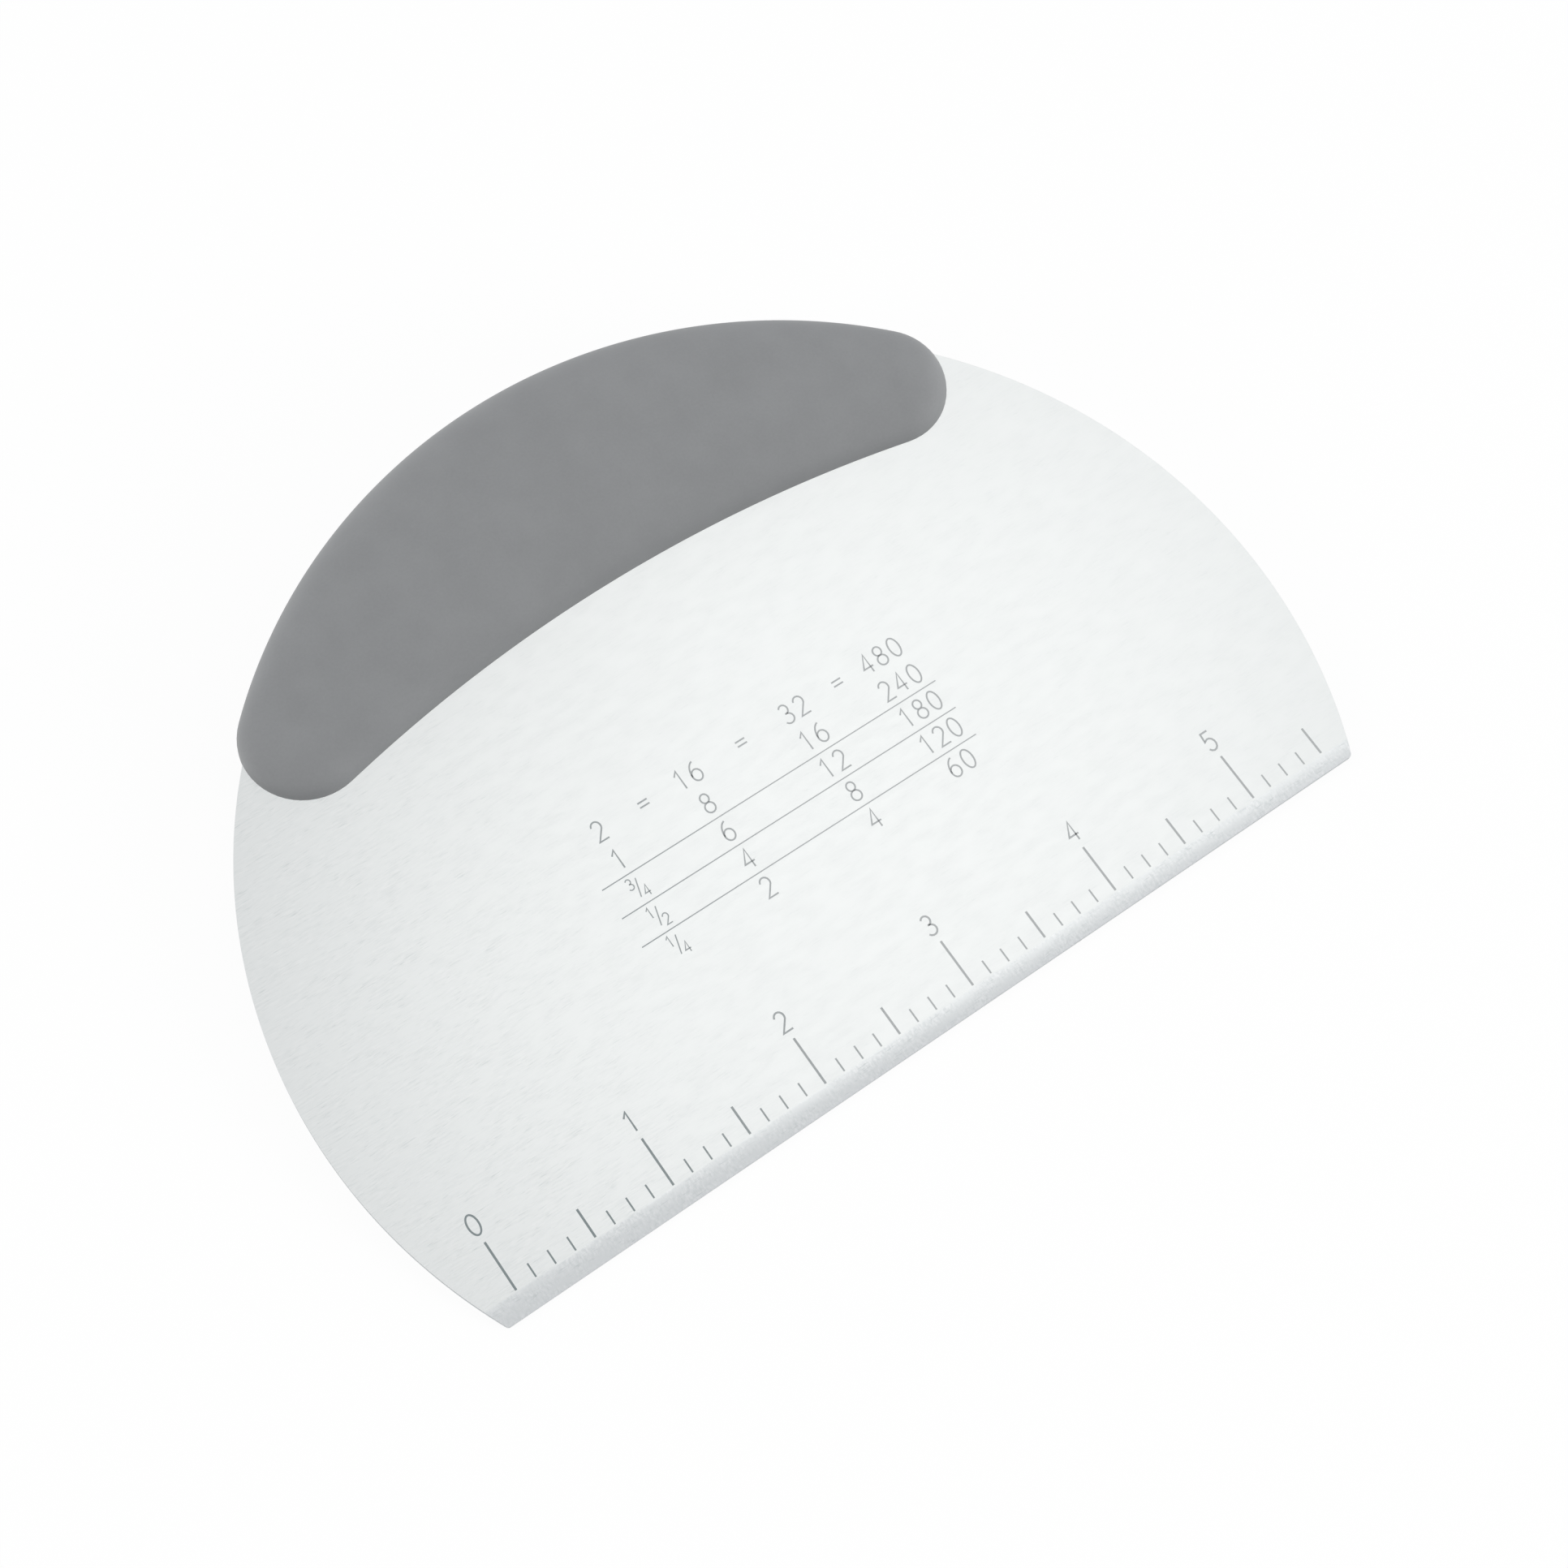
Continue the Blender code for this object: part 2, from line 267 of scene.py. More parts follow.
def mesh_object(name, shape, place=PLANE):
    """An object from a bmesh that this uses up. Its mesh is laid on the leaning blade."""
    bmesh.ops.recalc_face_normals(shape, faces=shape.faces)
    shape.transform(place)
    mesh = bpy.data.meshes.new(name)
    shape.to_mesh(mesh)
    shape.free()
    obj = bpy.data.objects.new(name, mesh)
    bpy.context.scene.collection.objects.link(obj)
    return obj


def cut_away(obj, cutter):
    """Cuts one object out of another for good, and deletes the cutter."""
    cut = obj.modifiers.new("cut", "BOOLEAN")
    cut.operation = "DIFFERENCE"
    cut.solver = "EXACT"
    cut.object = cutter
    bpy.context.view_layer.update()
    graph = bpy.context.evaluated_depsgraph_get()
    mesh = bpy.data.meshes.new_from_object(obj.evaluated_get(graph))
    obj.modifiers.remove(cut)
    obj.data = mesh
    bpy.data.objects.remove(cutter, do_unlink=True)


def smooth(obj, angle):
    obj.data.shade_smooth()
    obj.data.set_sharp_from_angle(angle=angle)


def node(tree, kind, inputs=None, **settings):
    """Adds a shader node with its settings. An input is a value or the output socket that feeds it."""
    made = tree.nodes.new("ShaderNode" + kind)
    for name, value in settings.items():
        setattr(made, name, value)
    for name, value in (inputs or {}).items():
        if isinstance(value, bpy.types.NodeSocket):
            tree.links.new(value, made.inputs[name])
        else:
            made.inputs[name].default_value = value
    return made


def material(name):
    """A new material, with its node tree and its surface shader."""
    made = bpy.data.materials.new(name)
    made.use_nodes = True
    return made, made.node_tree, made.node_tree.nodes["Principled BSDF"]


def blade_coordinates(tree):
    """Coordinates in the blade's own plane, in millimetres."""
    place = node(tree, "TexCoord")
    mapped = node(
        tree,
        "Mapping",
        {
            "Vector": place.outputs["Object"],
            "Location": PLANE.to_translation(),
            "Rotation": PLANE.to_euler(),
            "Scale": (MILLIMETRE, MILLIMETRE, MILLIMETRE),
        },
        vector_type="TEXTURE",
    )
    return mapped.outputs["Vector"]


def spine_end():
    """Where the circle of the grip's end, which touches both long arcs, has its centre on the right."""
    outer = GRIP_OUTER_RADIUS - GRIP_END_RADIUS
    inner = GRIP_INNER_RADIUS + GRIP_END_RADIUS
    apart = BLADE_CENTRE.y - INNER_CENTRE.y
    rise = (inner**2 - outer**2 - apart**2) / (2 * apart)
    return Vector((math.sqrt(outer**2 - rise**2), BLADE_CENTRE.y + rise))


def spine(x):
    """A point midway between the grip's two long arcs, and its distance to both."""
    middle = (BLADE_CENTRE + INNER_CENTRE) / 2
    half_height = (GRIP_OUTER_RADIUS + GRIP_INNER_RADIUS) / 2
    half_width = math.sqrt(half_height**2 - ((BLADE_CENTRE.y - INNER_CENTRE.y) / 2) ** 2)
    point = middle + Vector((x, half_height * math.sqrt(1 - (x / half_width) ** 2)))
    return point, GRIP_OUTER_RADIUS - (point - BLADE_CENTRE).length


def half_thickness(reach):
    """The grip thins towards its ends as it narrows."""
    share = (reach - GRIP_END_RADIUS) / (GRIP_WIDTH / 2 - GRIP_END_RADIUS)
    return (GRIP_END_THICKNESS + (GRIP_THICKNESS - GRIP_END_THICKNESS) * share) / 2


def fan(first, last, steps):
    """The spokes of a round end, between the last one on one side and the first on the other."""
    start = math.atan2(first[1].y, first[1].x)
    turn = (math.atan2(last[1].y, last[1].x) - start) % (2 * math.pi)
    angles = [start + turn * i / steps for i in range(1, steps)]
    return [(first[0], Vector((math.cos(a), math.sin(a))), first[2]) for a in angles]


def spokes(spine_steps, end_steps):
    """Lines from the grip's spine square to its outline, in order round it: (start, direction, reach)."""
    end = spine_end().x
    outer_side = []
    inner_side = []
    for i in range(spine_steps + 1):
        point, reach = spine(end * (1 - 2 * i / spine_steps))
        outer_side.append((point, (point - BLADE_CENTRE).normalized(), reach))
        inner_side.append((point, (INNER_CENTRE - point).normalized(), reach))
    left_end = fan(outer_side[-1], inner_side[-1], end_steps)
    right_end = fan(inner_side[0], outer_side[0], end_steps)
    return outer_side + left_end + inner_side[::-1] + right_end


def crown(turn):
    """A point of the grip's section, in shares of its reach and height, where its face leans so far."""
    power = GRIP_FULLNESS / (GRIP_FULLNESS - 1)
    across = abs(math.cos(turn))
    up = abs(math.sin(turn))
    size = (across**power + up**power) ** (1 / GRIP_FULLNESS)
    share = 1 / (GRIP_FULLNESS - 1)
    return across**share / size, math.copysign(up**share / size, turn)


def grip_form(name, inset, steps):
    """The grip's closed form, or a smaller one inside it: a loft of crowned sections along its spine."""
    spine_steps, end_steps, crown_steps = steps
    shape = bmesh.new()
    lines = spokes(spine_steps, end_steps)
    rings = []
    for i in range(-crown_steps, crown_steps + 1):
        across, up = crown(math.pi / 2 * i / crown_steps)
        ring = []
        for start, direction, reach in lines:
            place = start + direction * (reach - inset) * across
            ring.append(shape.verts.new((place.x, place.y, (half_thickness(reach) - inset) * up)))
        rings.append(ring)
    for below, above in zip(rings, rings[1:]):
        for i in range(len(below)):
            shape.faces.new((below[i - 1], below[i], above[i], above[i - 1]))
    bmesh.ops.remove_doubles(shape, verts=shape.verts, dist=WELD)
    return mesh_object(name, shape)


def arc(centre, radius, start, end, step):
    """Points along an arc, both ends included, in steps of about the given angle."""
    count = max(2, round(abs(end - start) / step) + 1)
    angles = [start + (end - start) * i / (count - 1) for i in range(count)]
    return [centre + radius * Vector((math.cos(a), math.sin(a))) for a in angles]


def blade_outline():
    """The blade seen from the front, counterclockwise, with its tang under the grip."""
    corner = Vector((0.0, EDGE_CORNER_RADIUS))
    corner.x = math.sqrt((BLADE_RADIUS - corner.y) ** 2 - (BLADE_CENTRE.y - corner.y) ** 2)
    corner_turn = math.atan2(corner.y - BLADE_CENTRE.y, corner.x)
    end = spine_end()
    shoulder = math.atan2(end.y - BLADE_CENTRE.y, end.x)
    tang_radius = BLADE_RADIUS - TANG_INSET
    outer_reach = BLADE_RADIUS - TANG_CORNER_RADIUS
    inner_reach = tang_radius + TANG_CORNER_RADIUS
    outer_turn = shoulder - math.asin(TANG_CORNER_RADIUS / outer_reach)
    inner_turn = shoulder + math.asin(TANG_CORNER_RADIUS / inner_reach)
    outer_centre = BLADE_CENTRE + outer_reach * Vector((math.cos(outer_turn), math.sin(outer_turn)))
    inner_centre = BLADE_CENTRE + inner_reach * Vector((math.cos(inner_turn), math.sin(inner_turn)))
    quarter = math.pi / 2

    right = arc(corner, EDGE_CORNER_RADIUS, -quarter, corner_turn, FILLET_STEP)
    right += arc(BLADE_CENTRE, BLADE_RADIUS, corner_turn, outer_turn, RIM_STEP)[1:]
    right += arc(outer_centre, TANG_CORNER_RADIUS, outer_turn, shoulder + quarter, FILLET_STEP)[1:]
    right += arc(inner_centre, TANG_CORNER_RADIUS, shoulder - quarter, inner_turn - math.pi, FILLET_STEP)
    right += arc(BLADE_CENTRE, tang_radius, inner_turn, quarter, RIM_STEP)[1:]
    left = [Vector((-point.x, point.y)) for point in reversed(right[:-1])]
    return right + left


def disc(name, radius, centre, thickness, sides):
    """A round plate in the blade's plane."""
    shape = bmesh.new()
    bmesh.ops.create_cone(
        shape,
        cap_ends=True,
        segments=sides,
        radius1=radius,
        radius2=radius,
        depth=thickness,
        matrix=Matrix.Translation((centre.x, centre.y, 0.0)),
    )
    return mesh_object(name, shape)


def slice_up(shape, top, across, spacing):
    """Cuts the faces below a height on the blade into strips, square to a direction."""
    faces = [face for face in shape.faces if face.calc_center_median().y < top]
    for place in spacing:
        edges = {edge for face in faces for edge in face.edges}
        verts = {vert for face in faces for vert in face.verts}
        cut = bmesh.ops.bisect_plane(
            shape,
            geom=faces + list(edges) + list(verts),
            dist=WELD,
            plane_co=Vector(across) * place,
            plane_no=across,
        )
        faces = [item for item in cut["geom"] if isinstance(item, bmesh.types.BMFace)]


def bevel_width(x):
    """The bevel is wider on the left than on the right."""
    return BEVEL_WIDTH + BEVEL_LEAN * x


def bevel_wander(x):
    """How far the line between the bevel and the front face wanders. It doesn't at the blade's ends."""
    fade = max(0.0, 1.0 - (x / WANDER_END) ** WANDER_FADE)
    waves = noise.noise(Vector((x / LONG_WANDER, 0.0, 1.7)))
    ripples = noise.noise(Vector((x / SHORT_WANDER, 0.0, 5.2)))
    return BEVEL_WANDER * fade * (waves + SHORT_WANDER_SHARE * ripples)


def grind_bevel(shape):
    """Lowers the front face along the straight edge to the land, ever steeper, below its upper line."""
    shares = [1 - i / BEVEL_ROWS for i in range(BEVEL_ROWS)] + [1 - BEVEL_BREAK, 1 + BEVEL_BREAK]
    for share in shares:
        slice_up(shape, BLADE_RADIUS, (-BEVEL_LEAN * share, 1.0, 0.0), [BEVEL_WIDTH * share])
    slice_up(shape, BLADE_RADIUS, (0.0, 1.0, 0.0), [BEVEL_BAND])
    columns = [(2 * i / BAND_STEPS - 1) * BLADE_RADIUS for i in range(1, BAND_STEPS)]
    slice_up(shape, BEVEL_BAND, (1.0, 0.0, 0.0), columns)
    bmesh.ops.remove_doubles(shape, verts=shape.verts, dist=BAND_WELD)
    for vert in shape.verts:
        if vert.co.z < 0 or vert.co.y > BEVEL_BAND - WELD:
            continue
        side = vert.co.x / BLADE_RADIUS
        width = bevel_width(vert.co.x)
        deepest = (BLADE_THICKNESS - EDGE_LAND) * (1 + BEVEL_DEPTH_CHANGE * side) * width / BEVEL_WIDTH
        roll = BEVEL_ROLL + BEVEL_ROLL_CHANGE * side
        share = max(0.0, 1 - vert.co.y / width)
        vert.co.z -= (roll * share**2 + (1 - roll) * share) * deepest
        vert.co.y += bevel_wander(vert.co.x) * min(1.0, vert.co.y / width)


def make_blade(brushed, ground, sheared):
    """The steel blade, with the tang and its pin holes hidden in the grip."""
    shape = bmesh.new()
    outline = [shape.verts.new((point.x, point.y, -FRONT)) for point in blade_outline()]
    back = shape.faces.new(outline)
    raised = bmesh.ops.extrude_face_region(shape, geom=[back], use_keep_orig=True)
    front = [item for item in raised["geom"] if isinstance(item, bmesh.types.BMVert)]
    bmesh.ops.translate(shape, verts=front, vec=(0.0, 0.0, BLADE_THICKNESS))
    grind_bevel(shape)
    bmesh.ops.recalc_face_normals(shape, faces=shape.faces)
    for face in shape.faces:
        middle = face.calc_center_median()
        if abs(face.normal.z) < RIM_RISE:
            face.material_index = 2
        elif middle.y < bevel_width(middle.x) and face.normal.z > 0.0:
            face.material_index = 1
    blade = mesh_object("steel_blade", shape)
    for look in (brushed, ground, sheared):
        blade.data.materials.append(look)
    for i in range(PIN_COUNT):
        centre = spine((i - (PIN_COUNT - 1) / 2) * PIN_SPACING)[0]
        cut_away(blade, disc("hole", PIN_RADIUS + CLEARANCE, centre, 3 * BLADE_THICKNESS, HOLE_SIDES))
    smooth(blade, SHARP_STEEL)
    rounding = blade.modifiers.new("rounding", "BEVEL")
    rounding.limit_method = "ANGLE"
    rounding.angle_limit = ROUNDED_ABOVE
    rounding.width = EDGE_ROUNDING
    rounding.segments = ROUNDING_SIDES
    rounding.harden_normals = True
    triangles = blade.modifiers.new("triangles", "TRIANGULATE")
    triangles.min_vertices = 5
    triangles.ngon_method = "BEAUTY"
    triangles.keep_custom_normals = True
    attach(blade, "root")
    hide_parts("blade")


def make_grip(look):
    """The rubber grip: a hollow skin, moulded tight against the blade."""
    grip = grip_form("soft_grip", 0.0, SKIN_STEPS)
    cut_away(grip, grip_form("hollow", SKIN_THICKNESS, HOLLOW_STEPS))
    slot_thickness = BLADE_THICKNESS + 2 * MOULDED_GAP
    cut_away(grip, disc("slot", BLADE_RADIUS + MOULDED_GAP, BLADE_CENTRE, slot_thickness, DISC_SIDES))
    grip.data.materials.clear()
    grip.data.materials.append(look)
    # The brushed steel is too rough to mirror the grip.
    grip.visible_glossy = False
    smooth(grip, SHARP_RUBBER)
    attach(grip, "root")
    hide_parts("grip")


def bow(x, y, across, up, start, end, steps=10):
    """Points on an ellipse's arc, from one angle to another in degrees."""
    angles = [math.radians(start + (end - start) * i / steps) for i in range(steps + 1)]
    return [(x + across * math.cos(a), y + up * math.sin(a)) for a in angles]


# Each sign's strokes, in a box one unit wide and one high. A stroke that ends where it starts is a ring.
DIGITS = {
    "0": [bow(0.5, 0.5, 0.5, 0.5, 90, 450, 24)],
    "1": [[(0.16, 0.76), (0.56, 1.0), (0.56, 0.0)]],
    "2": [bow(0.5, 0.72, 0.46, 0.28, 165, -30) + [(0.02, 0.0), (1.0, 0.0)]],
    "3": [bow(0.46, 0.755, 0.42, 0.245, 150, -90), bow(0.46, 0.265, 0.5, 0.265, 100, -150)],
    "4": [[(0.72, 0.0), (0.72, 1.0), (0.0, 0.3), (1.0, 0.3)]],
    "5": [[(0.92, 1.0), (0.18, 1.0), (0.1, 0.56)] + bow(0.47, 0.32, 0.49, 0.32, 125, -150)],
    "6": [bow(0.5, 0.3, 0.48, 0.3, 90, 450, 20), bow(0.86, 0.3, 0.84, 0.7, 180, 98, 8)],
    "7": [[(0.0, 1.0), (1.0, 1.0), (0.34, 0.0)]],
    "8": [bow(0.5, 0.765, 0.4, 0.235, 90, 450, 18), bow(0.5, 0.265, 0.48, 0.265, 90, 450, 20)],
    "9": [bow(0.5, 0.7, 0.48, 0.3, 90, 450, 20), bow(0.14, 0.7, 0.84, 0.7, 0, -82, 8)],
    "=": [[(0.0, 0.62), (1.0, 0.62)], [(0.0, 0.38), (1.0, 0.38)]],
    "/": [[(0.2, -0.05), (0.8, 1.05)]],
}


def glyph(sign, place, scale=1.0):
    """A sign's strokes, centred on a place on the blade."""
    strokes = []
    for stroke in DIGITS[sign]:
        centred = [((x - 0.5) * DIGIT_WIDTH, (y - 0.5) * DIGIT_HEIGHT) for x, y in stroke]
        strokes.append([Vector((place.x + x * scale, place.y + y * scale)) for x, y in centred])
    return strokes


def number(text, place):
    """The strokes of a number, or of a fraction such as 1/2, centred on a place."""
    if "/" in text:
        upper, lower = text.split("/")
        shift = Vector((FRACTION_SHIFT, -FRACTION_DROP))
        bar = glyph("/", place, FRACTION_BAR_SCALE)
        small = glyph(upper, place - shift, FRACTION_SCALE)
        return small + bar + glyph(lower, place + shift, FRACTION_SCALE)
    strokes = []
    for i, sign in enumerate(text):
        shift = (i - (len(text) - 1) / 2) * DIGIT_PITCH
        strokes += glyph(sign, place + Vector((shift, 0.0)))
    return strokes


def ribbon(shape, points, width):
    """Adds a flat line of an even width through the points."""
    closed = (points[0] - points[-1]).length < WELD
    if closed:
        points = points[:-1]
    count = len(points)
    pairs = []
    for i, point in enumerate(points):
        before = points[i - 1] if i or closed else None
        after = points[(i + 1) % count] if i < count - 1 or closed else None
        first = (point - before).normalized() if before else (after - point).normalized()
        second = (after - point).normalized() if after else first
        square = Vector((-first.y - second.y, first.x + second.x)).normalized()
        half = width / 2 / max(LEAST_MITRE, square.dot(Vector((-first.y, first.x))))
        pairs.append([shape.verts.new((*(point + square * half * side), 0.0)) for side in (1, -1)])
    for i in range(count if closed else count - 1):
        left, right = pairs[i]
        next_left, next_right = pairs[(i + 1) % count]
        shape.faces.new((left, right, next_right, next_left))


def etched(name, lines, look):
    """Etched lines on the blade's front face, each a list of points and a width."""
    shape = bmesh.new()
    for points, width in lines:
        ribbon(shape, points, width)
    obj = mesh_object(name, shape, FRONT_FACE @ Matrix.Rotation(ETCH_TURN, 4, "Z"))
    depth = obj.modifiers.new("depth", "SOLIDIFY")
    depth.thickness = ETCH_HEIGHT
    depth.offset = 0.0
    obj.data.materials.append(look)
    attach(obj, "root")


def ruler_lines():
    """The marks of the ruler. Those of whole and half inches are longer and thicker."""
    lines = []
    for i in range(round(RULER_LENGTH / INCH * 8) + 1):
        x = i * INCH / 8 - RULER_LENGTH / 2
        whole = i % 8 == 0
        half = i % 4 == 0
        length = INCH_MARK if whole else (HALF_MARK if half else EIGHTH_MARK)
        ends = [Vector((x, MARKS_FROM_EDGE)), Vector((x, MARKS_FROM_EDGE + length))]
        lines.append((ends, THICK_LINE if half else THIN_LINE))
    return lines


def ruler_numbers():
    lines = []
    for i in range(int(RULER_LENGTH / INCH) + 1):
        place = Vector((i * INCH - RULER_LENGTH / 2, RULER_DIGITS_FROM_EDGE))
        lines += [(stroke, DIGIT_LINE) for stroke in number(str(i), place)]
    return lines


def table_lines():
    lines = []
    for row in TABLE_RULES:
        y = TABLE_TOP - row * TABLE_ROW
        lines.append(([Vector((-TABLE_HALF_WIDTH, y)), Vector((TABLE_HALF_WIDTH, y))], RULE_LINE))
    return lines


def table_numbers():
    """The numbers of the table, and the equals signs in its top row."""
    lines = []
    for i, row in enumerate(TABLE):
        y = TABLE_TOP - i * TABLE_ROW
        for x, text in zip(TABLE_COLUMNS, row):
            width = FRACTION_LINE if "/" in text else THIN_LINE
            lines += [(stroke, width) for stroke in number(text, Vector((x, y)))]
    for x, after in zip(TABLE_COLUMNS, TABLE_COLUMNS[1:]):
        middle = Vector(((x + after) / 2, TABLE_TOP))
        lines += [(stroke, THIN_LINE) for stroke in glyph("=", middle)]
    return lines


def scratches(tree, length, width, seed):
    """Fine parallel scratches, as a height from 0 to 1. Length runs along X and width along Y, in mm."""
    place = blade_coordinates(tree)
    drawn = node(
        tree,
        "Mapping",
        {"Vector": place, "Location": (seed, seed, 0.0), "Scale": (1 / length, 1 / width, 0.0)},
    )
    return node(
        tree,
        "TexNoise",
        {"Vector": drawn.outputs["Vector"], "Scale": 1.0, "Detail": 2.0, "Roughness": 0.6},
        noise_dimensions="2D",
    ).outputs["Fac"]


def steel(name, pale, dark, scored, roughness, length, width, depth, fine_share=1.0):
    """Stainless steel with scratches of this length and width in mm, and this depth in metres.

    They fade to a share of their depth on the right. The few deeper scores have a colour of their own.
    """
    made, tree, shader = material(name)
    shader.inputs["Metallic"].default_value = 1.0
    shader.inputs["Anisotropic"].default_value = 0.3
    grain = scratches(tree, length, width, GRAIN_SEED)
    patches = scratches(tree, PATCH_LENGTH, PATCH_WIDTH, PATCH_SEED)
    across = node(tree, "SeparateXYZ", {"Vector": blade_coordinates(tree)}).outputs["X"]
    worn = node(
        tree,
        "MapRange",
        {
            "Value": across,
            "From Min": WORN_SIDE,
            "From Max": FINE_SIDE,
            "To Min": 1.0,
            "To Max": fine_share,
        },
        interpolation_type="SMOOTHSTEP",
    )
    patchy = node(tree, "MapRange", {"Value": patches, "From Min": PATCH_BARE, "From Max": PATCH_FULL})
    strength = node(
        tree, "Math", {0: worn.outputs["Result"], 1: patchy.outputs["Result"]}, operation="MULTIPLY"
    )
    height = node(tree, "Mix", {0: strength.outputs["Value"], 2: 0.5, 3: grain}, data_type="FLOAT")
    tone = node(
        tree, "MapRange", {"Value": height.outputs[0], "From Min": NOISE_LOW, "From Max": NOISE_HIGH}
    )
    colour = node(
        tree,
        "Mix",
        {0: tone.outputs["Result"], 6: linear(dark), 7: linear(pale)},
        data_type="RGBA",
    )
    scores = scratches(tree, SCORE_LENGTH, SCORE_WIDTH, SCORE_SEED)
    deep = node(tree, "MapRange", {"Value": scores, "From Min": SCORE_FAINT, "From Max": SCORE_FULL})
    shown = node(
        tree, "Math", {0: deep.outputs["Result"], 1: strength.outputs["Value"]}, operation="MULTIPLY"
    )
    marked = node(
        tree,
        "Mix",
        {0: shown.outputs["Value"], 6: colour.outputs[2], 7: linear(scored)},
        data_type="RGBA",
    )
    tree.links.new(marked.outputs[2], shader.inputs["Base Color"])
    gloss = node(
        tree,
        "MapRange",
        {
            "Value": patches,
            "From Min": NOISE_LOW,
            "From Max": NOISE_HIGH,
            "To Min": roughness - GLOSS_SPREAD,
            "To Max": roughness + GLOSS_SPREAD,
        },
    )
    tree.links.new(gloss.outputs["Result"], shader.inputs["Roughness"])
    bump = node(tree, "Bump", {"Height": height.outputs[0], "Strength": 1.0, "Distance": depth})
    tree.links.new(bump.outputs["Normal"], shader.inputs["Normal"])
    return made


def brushed_steel():
    """Cold-rolled stainless steel, brushed along the straight edge: short fine streaks in a soft gloss.

    The real streaks are about 0.1 mm wide. They are drawn 0.28 mm wide, so that they show.
    """
    return steel(
        "brushed_stainless_steel",
        pale="F4F5F5",
        dark="ECEEEE",
        scored="DCE0E0",
        roughness=0.34,
        length=2.2,
        width=0.28,
        depth=0.00001,
        fine_share=FINE_SHARE,
    )


def ground_steel():
    """The same steel on the bevel, ground across the straight edge: mottled with short cross marks."""
    return steel(
        "ground_stainless_steel",
        pale="FBFCFD",
        dark="E9ECED",
        scored="DADEDF",
        roughness=0.36,
        length=0.4,
        width=0.7,
        depth=0.000012,
    )


def sheared_steel():
    """The cut rim of the same sheet, as the punch left it: matt and greyer, with a fine grit."""
    return steel(
        "punched_stainless_steel",
        pale="CDD0D2",
        dark="AEB2B5",
        scored="A4A8AB",
        roughness=0.5,
        length=0.25,
        width=0.25,
        depth=0.00002,
    )


def etched_steel():
    """Steel darkened by a laser: a thin matt grey oxide, a little blotchy, with painted shade on the left
    and a painted reflection on the right.
    """
    made, tree, shader = material("laser_etched_steel")
    shader.inputs["Metallic"].default_value = 0.6
    shader.inputs["Roughness"].default_value = 0.6
    across = node(tree, "SeparateXYZ", {"Vector": blade_coordinates(tree)}).outputs["X"]
    # Painted light: the oxide's colour runs from painted shade on the left to a painted reflection on the
    # right.
    side = node(
        tree,
        "MapRange",
        {"Value": across, "From Min": PAINTED_SHADE_SIDE, "From Max": PAINTED_LIGHT_SIDE},
        interpolation_type="SMOOTHSTEP",
    )
    blotches = scratches(tree, OXIDE_BLOTCH, OXIDE_BLOTCH, OXIDE_SEED)
    uneven = node(
        tree,
        "MapRange",
        {
            "Value": blotches,
            "From Min": NOISE_LOW,
            "From Max": NOISE_HIGH,
            "To Min": -OXIDE_SPREAD,
            "To Max": OXIDE_SPREAD,
        },
    )
    share = node(
        tree,
        "Math",
        {0: side.outputs["Result"], 1: uneven.outputs["Result"]},
        operation="ADD",
        use_clamp=True,
    )
    colour = node(
        tree,
        "Mix",
        {0: share.outputs["Value"], 6: linear("8F989A"), 7: linear("C0C2C3")},
        data_type="RGBA",
    )
    tree.links.new(colour.outputs[2], shader.inputs["Base Color"])
    return made


def soft_rubber():
    """Moulded thermoplastic rubber in mid grey: a matt skin with the fine grain of a blasted mould.

    The real grain is about 0.1 mm. It is drawn 0.4 mm coarse, so that it shows.
    """
    made, tree, shader = material("moulded_soft_rubber")
    shader.inputs["Sheen Weight"].default_value = 0.08
    shader.inputs["Sheen Roughness"].default_value = 0.5
    place = blade_coordinates(tree)
    grain = node(
        tree, "TexNoise", {"Vector": place, "Scale": 1 / GRAIN_SIZE, "Detail": 2.0, "Roughness": 0.6}
    )
    cloud = node(
        tree, "TexNoise", {"Vector": place, "Scale": 1 / CLOUD_SIZE, "Detail": 2.0, "Roughness": 0.5}
    )
    mixed = node(tree, "Math", {0: grain.outputs["Fac"], 1: cloud.outputs["Fac"]}, operation="ADD")
    tone = node(tree, "MapRange", {"Value": mixed.outputs["Value"], "From Min": 0.7, "From Max": 1.3})
    colour = node(
        tree,
        "Mix",
        {0: tone.outputs["Result"], 6: linear("868789"), 7: linear("8C8D8F")},
        data_type="RGBA",
    )
    tree.links.new(colour.outputs[2], shader.inputs["Base Color"])
    gloss = node(
        tree,
        "MapRange",
        {
            "Value": grain.outputs["Fac"],
            "From Min": NOISE_LOW,
            "From Max": NOISE_HIGH,
            "To Min": 0.56,
            "To Max": 0.66,
        },
    )
    tree.links.new(gloss.outputs["Result"], shader.inputs["Roughness"])
    bump = node(tree, "Bump", {"Height": grain.outputs["Fac"], "Strength": 1.0, "Distance": GRAIN_DEPTH})
    tree.links.new(bump.outputs["Normal"], shader.inputs["Normal"])
    return made


def moulded_plastic():
    """Unpainted moulded polypropylene, hidden inside the grip: waxy and pale, with faint flow marks."""
    made, tree, shader = material("moulded_polypropylene")
    place = blade_coordinates(tree)
    flow = node(
        tree, "TexNoise", {"Vector": place, "Scale": 1 / CLOUD_SIZE, "Detail": 3.0, "Distortion": 0.8}
    )
    colour = node(
        tree,
        "Mix",
        {0: flow.outputs["Fac"], 6: linear("D3D1C9"), 7: linear("DDDBD5")},
        data_type="RGBA",
    )
    tree.links.new(colour.outputs[2], shader.inputs["Base Color"])
    gloss = node(tree, "MapRange", {"Value": flow.outputs["Fac"], "To Min": 0.42, "To Max": 0.58})
    tree.links.new(gloss.outputs["Result"], shader.inputs["Roughness"])
    return made


